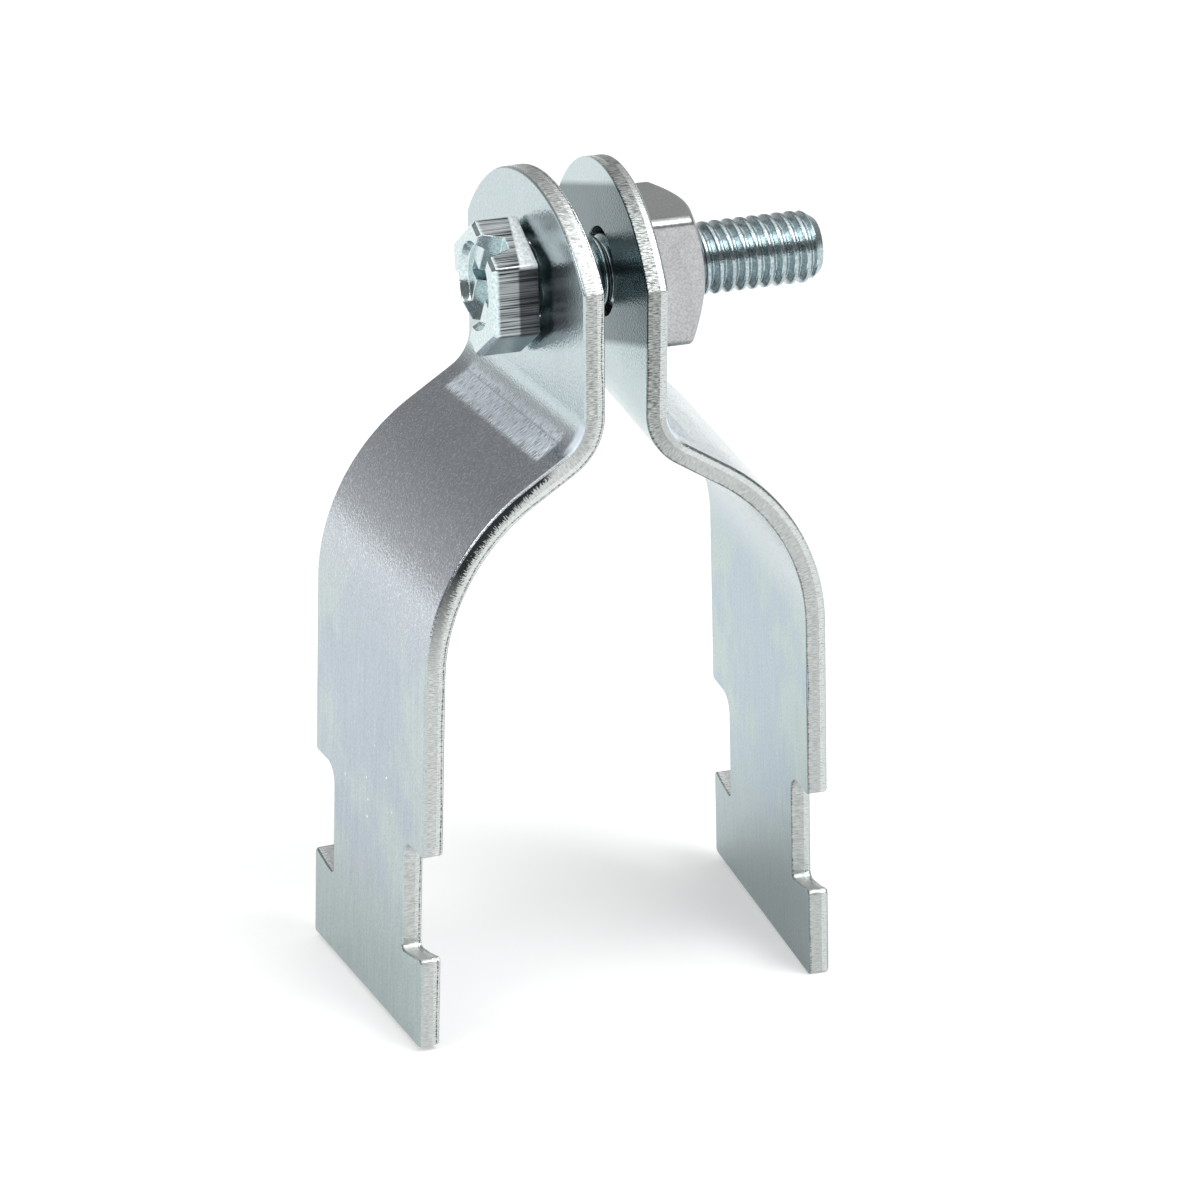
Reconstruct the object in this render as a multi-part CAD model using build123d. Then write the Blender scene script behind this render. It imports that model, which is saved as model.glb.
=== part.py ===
from build123d import *
import os
from math import cos, radians, sin, sqrt, tan

# A two-piece strut clamp for a nominal 1 1/4 inch pipe, in millimetres and degrees.
# The origin is the pipe's axis at the middle of the strip's width. X runs along the screw from its
# head to its nut, Y along the pipe, Z up. The feet are at the bottom and the ears at the top.

# Strip that both straps are blanked and bent from
strip_width = 31.75
strip_thickness = 2.28

# Bent profile of one strap, seen along the pipe
pipe_radius = 21.08
seat_clearance = 0.02
pipe_height = 41.13
leg_splay = 1.97
seat_end_angle = 58.25
ear_bend_radius = 4.6
ear_gap = 6.24
ear_tip_reach = 11.67
ear_tip_rise = 8.52

# Blanked outline of the foot, which turns into the channel's slot and hooks under its lips
neck_width = 20.66
foot_height = 10.38
shoulder_height = 21.82
hook_depth = 1.1
hook_sag = 0.15
hook_round = 0.6
shoulder_round = 2.0

# Edges as blanking leaves them: small round corners, and a rim drawn in all round the outer face
corner_round = 0.55
die_roll = 0.34

# How the loose straps hang on the screw
toe_angle = 2.94
swing_angle = 1.83

# Screw, 5/16-18, with an indented hex head that is slotted and cross recessed. Its hexagon was
# trimmed a little off the shank's axis. One corner was not filled out when the head was forged: it
# slopes away from the indent's rim over an arc.
screw_height = 36.75
thread_radius = 3.875
thread_end_radius = 3.1
thread_end_chamfer = 1.3
screw_length = 33.0
hole_clearance = 0.875
seat_gap = 0.06
head_flats = 12.7
head_height = 5.0
head_bevel = 0.4
head_turn = 3.35
head_drop = 0.4
indent_radius = 4.7
indent_depth = 0.9
slot_floor_width = 1.7
slot_mouth_width = 3.6
slot_depth = 2.6
slot_turn = 60.0
cross_width = 1.5
cross_reach = 3.1
cross_depth = 2.9
unfilled_start = 90.0
unfilled_arc = 60.0
unfilled_slope = 32.0

# Square nut
nut_flats = 14.1
nut_thickness = 6.75
nut_chamfer_angle = 25.7
nut_face_radius = 5.8
nut_corner_round = 1.0
nut_running_clearance = 0.05
nut_mouth_chamfer = 0.5

# How near an edge must be to a face to count as lying on it, and where along it that is tried
touching = 0.005
tried_shares = (0.2, 0.5, 0.8)

seat_radius = pipe_radius + seat_clearance
ear_top = screw_height + ear_tip_reach
hole_radius = thread_radius + hole_clearance
head_corner_radius = head_flats / sqrt(3)
nut_corner_radius = nut_flats / sqrt(2) - nut_corner_round * (sqrt(2) - 1)


def face_edges(offset):
    """Edges of one face of the left strap's bent profile, offset outwards from its inner face."""
    seat = seat_radius + offset
    bend = ear_bend_radius + strip_thickness - offset
    slope = radians(seat_end_angle)
    splay = radians(leg_splay)
    bend_run = (ear_bend_radius + strip_thickness) * (1 - cos(slope))
    straight = (seat_radius * cos(slope) - ear_gap / 2 - bend_run) / sin(slope)
    leg_top = Vector(-seat * cos(splay), 0, seat * sin(splay))
    leg_drop = pipe_height + leg_top.Z
    foot = leg_top - Vector(leg_drop * tan(splay), 0, leg_drop)
    middle = (slope + splay) / 2
    seat_middle = Vector(-seat * cos(middle), 0, seat * sin(middle))
    seat_end = Vector(-seat * cos(slope), 0, seat * sin(slope))
    bend_start = seat_end + Vector(sin(slope), 0, cos(slope)) * straight
    bend_centre = bend_start + Vector(-cos(slope), 0, sin(slope)) * bend
    bend_middle = bend_centre + Vector(cos(slope / 2), 0, -sin(slope / 2)) * bend
    bend_end = bend_centre + Vector(bend, 0, 0)
    ear_end = Vector(bend_end.X, 0, ear_top)
    return [
        Line(foot, leg_top),
        ThreePointArc(leg_top, seat_middle, seat_end),
        Line(seat_end, bend_start),
        ThreePointArc(bend_start, bend_middle, bend_end),
        Line(bend_end, ear_end),
    ]


def bent_strip():
    """The plain bent strip at full width, before its ends are trimmed to shape."""
    inner = face_edges(0)
    outer = face_edges(strip_thickness)
    foot_cap = Line(inner[0] @ 0, outer[0] @ 0)
    ear_cap = Line(inner[-1] @ 1, outer[-1] @ 1)
    profile = make_face(Wire([foot_cap, *inner, ear_cap, *outer]))
    return extrude(profile, strip_width / 2, dir=(0, 1, 0), both=True)


def ear_trim():
    """What lies outside the rounded tip of the ear, looking along the screw."""
    half = strip_width / 2
    corner = ear_top - ear_tip_rise
    reach = half + strip_width
    outside = Polyline(
        (-half, corner),
        (-reach, corner),
        (-reach, reach + ear_top),
        (reach, reach + ear_top),
        (reach, corner),
        (half, corner),
    )
    tip = ThreePointArc((half, corner), (0, ear_top), (-half, corner))
    return extrude(Plane.YZ * make_face([outside, tip]), strip_width * 2, both=True)


def neck_trim():
    """The slot cut beside the neck on one side, with the hook's hollow floor below it."""
    edge = strip_width / 2
    neck = neck_width / 2
    shoulder = shoulder_height - pipe_height
    tip = foot_height - pipe_height
    floor = tip - hook_depth
    reach = edge + strip_width
    middle = ((neck + edge) / 2, (floor + tip) / 2 - hook_sag)
    hollow = ThreePointArc((neck, floor), middle, (edge, tip))
    sides = Polyline((edge, tip), (reach, tip), (reach, shoulder), (neck, shoulder), (neck, floor))
    outline = make_face([hollow, sides])
    foot_corner = outline.vertices().sort_by_distance((neck, floor))[0]
    outline = fillet(foot_corner, hook_round)
    shoulder_corner = outline.vertices().sort_by_distance((neck, shoulder))[0]
    outline = fillet(shoulder_corner, shoulder_round)
    return extrude(Plane.YZ * outline, strip_width * 2, both=True)


def rounded_corners(body):
    """The strap with the corners of its blanked outline rounded, where they meet the strip's edge."""
    through = body.edges().filter_by(Axis.X)
    at_edge = [e for e in through if abs(abs(e.center().Y) - strip_width / 2) < touching]
    return fillet(at_edge, corner_round)


def rolled_edges(body):
    """The strap with its sheared edges drawn in along the whole of its outer face."""
    outer = Wire(face_edges(strip_thickness))
    rim = []
    for edge in body.edges():
        spots = [edge @ share for share in tried_shares]
        gaps = [outer.distance_to(Vector(p.X, 0, p.Z)) for p in spots]
        if max(gaps) < touching:
            rim.append(edge)
    return fillet(rim, die_roll)


def strap():
    """One strap as it leaves the press, for the side with the screw's head."""
    trim = neck_trim()
    drill = Pos(0, 0, screw_height) * Rot(0, 90, 0) * Cylinder(hole_radius, strip_width * 2)
    body = bent_strip() - ear_trim() - trim - mirror(trim, Plane.XZ) - drill
    return rolled_edges(rounded_corners(body))


def left_strap():
    """The strap under the screw's head, toed in at its near edge."""
    return Rot(0, 0, toe_angle) * strap()


def right_strap():
    """The strap under the nut, toed in and swung a little about the screw."""
    toed = Rot(0, 0, -toe_angle) * mirror(strap(), Plane.YZ)
    swing_axis = Axis((0, 0, screw_height), (1, 0, 0))
    return toed.rotate(swing_axis, swing_angle)


def ear_reach(radius):
    """How far a toed ear's outer face stands from the middle at a radius from the screw."""
    toe = radians(toe_angle)
    return (ear_gap / 2 + strip_thickness) / cos(toe) + radius * tan(toe)


def cone_cut(radius, height, reach, angle):
    """A turned blank whose front edge is chamfered from a flat face of the given radius."""
    drop = (reach - radius) * tan(radians(angle))
    outline = Polyline(
        (0, 0),
        (radius, 0),
        (reach, -drop),
        (reach, -height),
        (0, -height),
        close=True,
    )
    return revolve(Plane.XZ * make_face(outline), Axis.Z)


def unfilled_corner():
    """What is missing at the one corner of the head that the forging didn't fill out."""
    reach = head_flats
    drop = (reach - indent_radius) * tan(radians(unfilled_slope))
    section = make_face(Polyline((indent_radius, 0), (reach, 0), (reach, -drop), close=True))
    ring = revolve(Plane.XZ * section, Axis.Z, unfilled_arc)
    return Rot(0, 0, unfilled_start) * ring


def head_recess():
    """The indent, slot and cross pressed into the head, whose face is at height 0."""
    indent_rim = Pos(0, 0, -indent_depth / 2) * Cone(
        indent_radius - indent_depth / 2, indent_radius, indent_depth
    )
    mouth = slot_mouth_width / 2
    floor = slot_floor_width / 2
    section = Polyline(
        (-floor, -slot_depth),
        (floor, -slot_depth),
        (mouth, 0),
        (-mouth, 0),
        close=True,
    )
    slot = extrude(Plane.XZ * make_face(section), head_flats, both=True)
    wing = Box(cross_reach * 2, cross_width, cross_depth)
    cross = wing + Rot(0, 0, 90) * wing
    cross = Pos(0, 0, -cross_depth / 2) * cross
    return indent_rim + Rot(0, 0, slot_turn) * (slot + cross)


def hex_screw():
    """The screw in one piece, its head's underside clear of the toed ear."""
    underside = ear_reach(head_corner_radius + head_drop) + seat_gap
    hexagon = Pos(-head_drop, 0) * RegularPolygon(head_corner_radius, 6, rotation=head_turn)
    head = extrude(hexagon, -head_height)
    head = chamfer(head.faces().sort_by(Axis.Z)[-1].edges(), head_bevel)
    head -= unfilled_corner()
    head -= head_recess()
    head = Pos(0, 0, head_height) * head
    shank = Pos(0, 0, -screw_length / 2) * Cylinder(thread_radius, screw_length)
    end = shank.faces().sort_by(Axis.Z)[0].edges()
    shank = chamfer(end, thread_end_chamfer, thread_radius - thread_end_radius)
    body = head + shank
    return Pos(-underside, 0, screw_height) * Rot(0, -90, 0) * body


def square_nut():
    """The nut, its sides upright and its plain face clear of the toed ear."""
    inner_face = ear_reach(nut_corner_radius) + seat_gap
    square = RectangleRounded(nut_flats, nut_flats, nut_corner_round)
    body = extrude(square, -nut_thickness)
    body = body & cone_cut(nut_face_radius, nut_thickness, nut_flats, nut_chamfer_angle)
    bore = thread_radius + nut_running_clearance
    body -= Cylinder(bore, nut_thickness * 3)
    mouth = Cone(bore, bore + nut_mouth_chamfer, nut_mouth_chamfer)
    body -= Pos(0, 0, -nut_mouth_chamfer / 2) * mouth
    return Pos(inner_face + nut_thickness, 0, screw_height) * Rot(0, 90, 0) * body


os.makedirs("parts", exist_ok=True)
export_step(left_strap(), "parts/left_strap.step")
export_step(right_strap(), "parts/right_strap.step")
export_step(hex_screw(), "parts/hex_screw.step")
export_step(square_nut(), "parts/square_nut.step")
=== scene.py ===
"""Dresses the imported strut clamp: two bent zinc plated straps, their hex screw and its square nut.

Sizes are in millimetres and degrees in the part's own frame, and become metres where a mesh is
made. The frame's origin is the clamped pipe's axis: X runs along the screw, Y along the pipe, Z up.
"""

import logging
import math
from dataclasses import dataclass, field
from enum import Enum

import bpy
import numpy as np
from mathutils import Matrix, Vector
from mathutils.geometry import delaunay_2d_cdt


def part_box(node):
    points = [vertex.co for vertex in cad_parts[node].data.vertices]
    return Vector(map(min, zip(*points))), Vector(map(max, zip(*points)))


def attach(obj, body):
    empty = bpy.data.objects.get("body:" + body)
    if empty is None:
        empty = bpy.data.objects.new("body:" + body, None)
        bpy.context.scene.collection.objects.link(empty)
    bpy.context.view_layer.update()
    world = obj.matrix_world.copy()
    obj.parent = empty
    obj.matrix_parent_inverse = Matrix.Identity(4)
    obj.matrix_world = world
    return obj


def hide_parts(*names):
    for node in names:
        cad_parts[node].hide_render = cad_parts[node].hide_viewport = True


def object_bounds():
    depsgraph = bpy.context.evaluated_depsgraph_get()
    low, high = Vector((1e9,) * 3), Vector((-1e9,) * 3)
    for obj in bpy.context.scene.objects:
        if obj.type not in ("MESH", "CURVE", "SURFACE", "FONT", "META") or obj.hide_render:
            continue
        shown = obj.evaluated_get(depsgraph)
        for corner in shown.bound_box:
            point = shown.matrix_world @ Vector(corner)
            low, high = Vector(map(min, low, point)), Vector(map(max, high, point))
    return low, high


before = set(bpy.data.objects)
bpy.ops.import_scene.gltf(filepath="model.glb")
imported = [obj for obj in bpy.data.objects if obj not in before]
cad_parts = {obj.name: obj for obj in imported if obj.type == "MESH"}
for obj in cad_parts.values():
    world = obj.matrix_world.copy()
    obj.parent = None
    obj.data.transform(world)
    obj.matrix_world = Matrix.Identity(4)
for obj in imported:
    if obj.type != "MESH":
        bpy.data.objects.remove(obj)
CAD_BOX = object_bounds()

LOG = logging.getLogger("strut_clamp")
METRE = 0.001
PHOTO_PIXELS = 1200

# A rounded corner's longest step in degrees, and the least turn that counts as a corner
CORNER_STEP = 11
LEAST_TURN = 1e-6
# How near two points of a face's filling would be one
MERGE_WITHIN = 1e-6


def linear(hex_colour: str) -> tuple[float, float, float, float]:
    """Turns an sRGB hex colour into Blender's linear colour.

    Args:
        hex_colour: A colour such as "#c8cfcf".

    Returns:
        Red, green and blue in linear light, and an alpha of 1.
    """
    parts = [int(hex_colour[i:i + 2], 16) / 255 for i in (1, 3, 5)]
    light = [c / 12.92 if c <= 0.04045 else ((c + 0.055) / 1.055) ** 2.4 for c in parts]
    return (light[0], light[1], light[2], 1.0)


def turn_z(angle: float) -> np.ndarray:
    """The matrix that turns row vectors about Z by an angle in degrees."""
    c, s = math.cos(math.radians(angle)), math.sin(math.radians(angle))
    return np.array([[c, s, 0], [-s, c, 0], [0, 0, 1]])


def turn_x(angle: float) -> np.ndarray:
    """The matrix that turns row vectors about X by an angle in degrees."""
    c, s = math.cos(math.radians(angle)), math.sin(math.radians(angle))
    return np.array([[1, 0, 0], [0, c, s], [0, -s, c]])


@dataclass
class Shell:
    """A closed surface being put together, in millimetres.

    Attributes:
        points: One row of X, Y, Z for each vertex.
        faces: Vertex numbers of triangles and quads, seen anticlockwise from outside.
        normals: One outward normal for each vertex, or None to have them worked out.
        fields: Extra vectors for each vertex by name, such as a place along the strip.
    """

    points: np.ndarray
    faces: list
    normals: np.ndarray | None = None
    fields: dict[str, np.ndarray] = field(default_factory=dict)

    def moved(self, matrix: np.ndarray, shift: tuple[float, float, float] = (0, 0, 0)) -> "Shell":
        """Turns, mirrors or moves the surface.

        Args:
            matrix: A 3 by 3 matrix for row vectors. One that mirrors also turns the faces round.
            shift: What is added after the turn.

        Returns:
            A new surface with the same faces and fields.
        """
        faces = self.faces
        if np.linalg.det(matrix) < 0:
            faces = [f[::-1] for f in faces]
        normals = None if self.normals is None else self.normals @ matrix
        return Shell(self.points @ matrix + np.array(shift), faces, normals, self.fields)

    def make(self, name: str) -> bpy.types.Object:
        """Puts the surface into a new object at the origin, with smooth shading.

        Args:
            name: The object's name.

        Returns:
            The new object, linked to the scene.
        """
        if self.normals is None:
            self.normals = weighted_normals(self.points, self.faces)
        mesh = bpy.data.meshes.new(name)
        mesh.from_pydata((self.points * METRE).tolist(), [], self.faces)
        mesh.update()
        mesh.polygons.foreach_set("use_smooth", np.ones(len(mesh.polygons), bool))
        for key, values in self.fields.items():
            layer = mesh.attributes.new(key, "FLOAT_VECTOR", "POINT")
            layer.data.foreach_set("vector", values.astype(np.float32).ravel())
        mesh.normals_split_custom_set_from_vertices(self.normals.tolist())
        made = bpy.data.objects.new(name, mesh)
        bpy.context.scene.collection.objects.link(made)
        return made


def weighted_normals(points: np.ndarray, faces: list) -> np.ndarray:
    """Normals at the vertices, each the sum of its faces' normals times their areas.

    So a flat face stays flat to its edge beside a narrow rounding.

    Args:
        points: One row for each vertex.
        faces: Vertex numbers of triangles and quads.

    Returns:
        One unit normal for each vertex.
    """
    total = np.zeros_like(points)
    for size in (3, 4):
        chosen = np.array([f for f in faces if len(f) == size], int).reshape(-1, size)
        first, last = points[chosen[:, 0]], points[chosen[:, size - 1]]
        one = points[chosen[:, 2]] - first
        other = last - points[chosen[:, 1]]
        if size == 3:
            one, other = points[chosen[:, 1]] - first, last - first
        area = np.cross(one, other)
        for corner in range(size):
            np.add.at(total, chosen[:, corner], area)
    return total / np.maximum(np.linalg.norm(total, axis=1, keepdims=True), 1e-12)


def ring_faces(rings: int, around: int, first: int = 0, closed: bool = False) -> np.ndarray:
    """Quads between neighbouring rings of points that were stored ring after ring.

    Args:
        rings: How many rings there are.
        around: How many points each ring has.
        first: The number of the first ring's first point.
        closed: Whether the last ring also joins the first.

    Returns:
        Four vertex numbers for each quad.
    """
    i = np.arange(rings if closed else rings - 1)[:, None]
    j = np.arange(around)[None, :]
    a = (i % rings) * around + j
    b = (i % rings) * around + (j + 1) % around
    c = ((i + 1) % rings) * around + (j + 1) % around
    d = ((i + 1) % rings) * around + j
    return np.stack([a, b, c, d], axis=-1).reshape(-1, 4) + first


def lathe_like(grid: np.ndarray, fields: dict[str, np.ndarray], through: bool = False) -> Shell:
    """A closed surface from rings of points, shut by a fan at each end or joined into a loop.

    Args:
        grid: Points as rings by points round a ring by 3. Seen from the first ring towards the
            last, each ring runs so that the faces look outwards.
        fields: Extra vectors with the grid's shape, by name.
        through: Whether the last ring joins the first, as on a nut with a hole through it.

    Returns:
        The surface, without normals.
    """
    rings, around = grid.shape[:2]
    faces = ring_faces(rings, around, closed=through)
    points = grid.reshape(-1, 3)
    extra = {k: v.reshape(-1, 3) for k, v in fields.items()}
    if through:
        return Shell(points, faces.tolist(), None, extra)
    ends = np.stack([grid[0].mean(axis=0), grid[-1].mean(axis=0)])
    j = np.arange(around)
    near, far = len(points), len(points) + 1
    last = (rings - 1) * around
    first_fan = np.stack([np.full(around, near), (j + 1) % around, j], axis=-1)
    last_fan = np.stack([np.full(around, far), last + j, last + (j + 1) % around], axis=-1)
    for key, value in fields.items():
        tips = np.stack([value[0].mean(axis=0), value[-1].mean(axis=0)])
        extra[key] = np.concatenate([extra[key], tips])
    every = faces.tolist() + first_fan.tolist() + last_fan.tolist()
    return Shell(np.concatenate([points, ends]), every, None, extra)


def smooth_step(value: np.ndarray, low: float, high: float) -> np.ndarray:
    """0 below low and 1 above high, with a smooth cubic between them."""
    t = np.clip((value - low) / (high - low), 0, 1)
    return t * t * (3 - 2 * t)


def rounded_outline(corners: list[tuple[float, float, float]], spacing: float) -> np.ndarray:
    """A closed outline with rounded corners.

    Each corner of radius r is replaced by the arc that touches both its sides: it starts and ends
    r times the tangent of half the turn from the corner, and its centre lies on the bisector.

    Args:
        corners: X, Y and radius of each corner, in order round the outline.
        spacing: The longest step along a straight side.

    Returns:
        Points along the outline, one row each.
    """
    spots = np.array([c[:2] for c in corners], float)
    pieces = []
    for i, (x, y, radius) in enumerate(corners):
        here = np.array([x, y])
        back = spots[i - 1] - here
        ahead = spots[(i + 1) % len(spots)] - here
        back_unit, ahead_unit = back / np.linalg.norm(back), ahead / np.linalg.norm(ahead)
        turn = math.pi - math.acos(np.clip(back_unit @ ahead_unit, -1, 1))
        if radius > 0 and turn > LEAST_TURN:
            reach = radius * math.tan(turn / 2)
            bisector = back_unit + ahead_unit
            bisector /= np.linalg.norm(bisector)
            centre = here + bisector * radius / math.cos(turn / 2)
            start = here + back_unit * reach - centre
            side = math.copysign(1, back_unit[1] * ahead_unit[0] - back_unit[0] * ahead_unit[1])
            steps = max(4, round(math.degrees(turn) / CORNER_STEP))
            angles = side * np.linspace(0, turn, steps + 1)
            c, s = np.cos(angles), np.sin(angles)
            arc = np.stack([start[0] * c - start[1] * s, start[0] * s + start[1] * c], axis=-1)
            pieces.append(centre + arc)
        else:
            pieces.append(here[None, :])
    outline = []
    for i, piece in enumerate(pieces):
        outline.append(piece)
        start, end = piece[-1], pieces[(i + 1) % len(pieces)][0]
        steps = int(np.linalg.norm(end - start) / spacing)
        if steps > 0:
            share = np.arange(1, steps + 1)[:, None] / (steps + 1)
            outline.append(start + (end - start) * share)
    return np.concatenate(outline)


def outline_normals(outline: np.ndarray) -> np.ndarray:
    """Unit normals of a closed outline, to the right of its direction.

    Each is a quarter turn clockwise from the mean direction of the two sides that meet there.

    Args:
        outline: Points along the outline, one row each.

    Returns:
        One unit normal for each point.
    """
    ahead = np.roll(outline, -1, axis=0) - outline
    ahead /= np.linalg.norm(ahead, axis=1, keepdims=True)
    mean = ahead + np.roll(ahead, 1, axis=0)
    mean /= np.linalg.norm(mean, axis=1, keepdims=True)
    return np.stack([mean[:, 1], -mean[:, 0]], axis=-1)


class Side(Enum):
    """Which of the two facing straps."""

    LEFT = "left_strap"
    RIGHT = "right_strap"


@dataclass
class Strap:
    """One blanked and bent strap with its hooked foot, pipe seat and drilled ear.

    The blank is laid out flat first, with its place along the strip, across it and through it, and
    then bent: a place along the strip is a distance along the inner face from the foot's end, and
    every point stands out from that face along its normal.
    """

    side: Side
    width: float = 31.75
    thickness: float = 2.28
    seat_radius: float = 21.1
    pipe_height: float = 41.13
    leg_splay: float = 1.97
    seat_end_angle: float = 58.25
    ear_bend_radius: float = 4.6
    ear_gap: float = 6.24
    ear_top: float = 48.42
    ear_tip_rise: float = 8.52
    neck_width: float = 20.66
    foot_height: float = 10.38
    shoulder_height: float = 21.82
    hook_depth: float = 1.1
    hook_sag: float = 0.15
    hook_round: float = 0.6
    shoulder_round: float = 2.0
    corner_round: float = 0.55
    screw_height: float = 36.75
    hole_radius: float = 4.75
    toe: float = 2.94
    swing: float = 1.83
    die_roll: float = 0.34
    burr_round: float = 0.13
    row_step: float = 0.4
    column_step: float = 1.2
    border_gap: float = 0.35
    hole_points: int = 96
    tip_points: int = 61

    def __post_init__(self) -> None:
        """Works out where each stretch of the inner face starts."""
        slope, splay = math.radians(self.seat_end_angle), math.radians(self.leg_splay)
        bend = self.ear_bend_radius + self.thickness
        self.leg_top = np.array([-math.cos(splay), math.sin(splay)]) * self.seat_radius
        self.leg_length = (self.pipe_height + self.leg_top[1]) / math.cos(splay)
        self.seat_end = np.array([-math.cos(slope), math.sin(slope)]) * self.seat_radius
        run = self.seat_radius * math.cos(slope) - self.ear_gap / 2 - bend * (1 - math.cos(slope))
        self.straight = run / math.sin(slope)
        along = np.array([math.sin(slope), math.cos(slope)])
        self.bend_start = self.seat_end + along * self.straight
        self.bend_centre = self.bend_start + np.array([-math.cos(slope), math.sin(slope)]) * bend
        lengths = [
            self.leg_length,
            self.seat_radius * (slope - splay),
            self.straight,
            bend * slope,
            self.ear_top - self.bend_centre[1],
        ]
        self.marks = np.concatenate([[0], np.cumsum(lengths)])

    def on_leg(self, height: float) -> float:
        """The place along the strip of a height above the foot's end."""
        return height / math.cos(math.radians(self.leg_splay))

    def on_ear(self, level: float) -> float:
        """The place along the strip of a level above the pipe's axis, on the upright ear."""
        return self.marks[4] + level - self.bend_centre[1]

    def blank_outline(self) -> np.ndarray:
        """Lays out the blank's outline, from the foot's end round the ear's tip and back.

        Returns:
            Place along the strip and across it, one row for each point.
        """
        edge, neck = self.width / 2, self.neck_width / 2
        tip, shoulder = self.on_leg(self.foot_height), self.on_leg(self.shoulder_height)
        floor = self.on_leg(self.foot_height - self.hook_depth)
        ear_corner = self.on_ear(self.ear_top - self.ear_tip_rise)
        tip_radius = (edge**2 + self.ear_tip_rise**2) / (2 * self.ear_tip_rise)
        half_angle = math.asin(edge / tip_radius)
        tip_centre = self.on_ear(self.ear_top) - tip_radius
        share = np.linspace(0, 1, 12)[1:-1]
        hollow = [
            (tip + (floor - tip) * u - 4 * self.hook_sag * u * (1 - u), edge + (neck - edge) * u, 0)
            for u in share if u < 1 - 1.6 * self.hook_round / (edge - neck)
        ]
        half = [
            (0, edge, self.corner_round),
            (tip, edge, self.corner_round),
            *[spot for spot in hollow if spot[1] < edge - 1.5 * self.corner_round],
            (floor, neck, self.hook_round),
            (shoulder, neck, self.shoulder_round),
            (shoulder, edge, self.corner_round),
            (ear_corner, edge, self.corner_round),
        ]
        angles = np.linspace(half_angle, -half_angle, self.tip_points)[1:-1]
        tip_along = tip_centre + tip_radius * np.cos(angles)
        tip_arc = [(t, y, 0) for t, y in zip(tip_along, tip_radius * np.sin(angles))]
        other = [(t, -y, r) for t, y, r in reversed(half)]
        return rounded_outline(half + tip_arc + other, 0.5)

    def bent(
        self, flat: np.ndarray, depth: np.ndarray
    ) -> tuple[np.ndarray, np.ndarray, np.ndarray]:
        """Bends places on the flat blank to shape.

        Args:
            flat: Place along the strip and across it, one row for each point.
            depth: How far each point stands out from the inner face.

        Returns:
            The points, the strip's outward normals there, and its direction towards the ear.
        """
        t = flat[:, 0]
        splay = math.radians(self.leg_splay)
        bend = self.ear_bend_radius + self.thickness
        m = self.marks
        seat = splay + (np.clip(t, m[1], m[2]) - m[1]) / self.seat_radius
        turned = seat - (np.clip(t, m[3], m[4]) - m[3]) / bend
        out = np.stack([-np.cos(turned), np.sin(turned)], axis=-1)
        along = np.stack([np.sin(turned), np.cos(turned)], axis=-1)
        spot = np.empty((len(t), 2))
        leg, arc, straight = t < m[1], (t >= m[1]) & (t < m[2]), (t >= m[2]) & (t < m[3])
        curl, ear = (t >= m[3]) & (t < m[4]), t >= m[4]
        spot[leg] = self.leg_top + along[leg] * (t[leg] - m[1])[:, None]
        spot[arc] = out[arc] * self.seat_radius
        spot[straight] = self.seat_end + along[straight] * (t[straight] - m[2])[:, None]
        spot[curl] = self.bend_centre - out[curl] * bend
        ear_foot = self.bend_centre + np.array([bend, 0])
        spot[ear] = ear_foot + np.stack([np.zeros(ear.sum()), t[ear] - m[4]], axis=-1)
        # The foot's end and hooks are cut level, so the leg's outer face is sheared down a little
        cut = np.clip((m[1] - t) / (m[1] - self.on_leg(self.shoulder_height)), 0, 1)
        spot = spot + out * depth[:, None] - along * (depth * math.tan(splay) * cut)[:, None]
        place = np.stack([spot[:, 0], flat[:, 1], spot[:, 1]], axis=-1)
        zero = np.zeros(len(t))
        normal = np.stack([out[:, 0], zero, out[:, 1]], axis=-1)
        direction = np.stack([along[:, 0], zero, along[:, 1]], axis=-1)
        return place, normal, direction

    def edge_profile(self) -> tuple[np.ndarray, np.ndarray, np.ndarray]:
        """The sheared edge's section, from the inner face to the outer one.

        It starts on the inner face as far in as the die roll reaches, goes round a small quarter
        circle, up the sheared wall, and over the die roll's larger quarter circle.

        Returns:
            Inset from the outline, depth from the inner face, and the angle of its normal above
            the strip's plane, for each point of the section.
        """
        roll, burr, thick = self.die_roll, self.burr_round, self.thickness
        # The quarter circles, in five steps of 18 degrees and four of 22.5
        low = np.radians(np.linspace(90, 0, 6))
        high = np.radians(np.linspace(0, 90, 5))
        wall = np.linspace(burr, thick - roll, 5)[1:-1]
        level = np.zeros_like(wall)
        rounded, rolled = burr - burr * np.cos(low), roll - roll * np.cos(high)
        inset = np.concatenate([[roll], rounded, level, rolled])
        raised, drawn = burr - burr * np.sin(low), thick - roll + roll * np.sin(high)
        depth = np.concatenate([[0], raised, wall, drawn])
        angle = np.concatenate([[-math.pi / 2], -low, level, high])
        return inset, depth, angle

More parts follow.
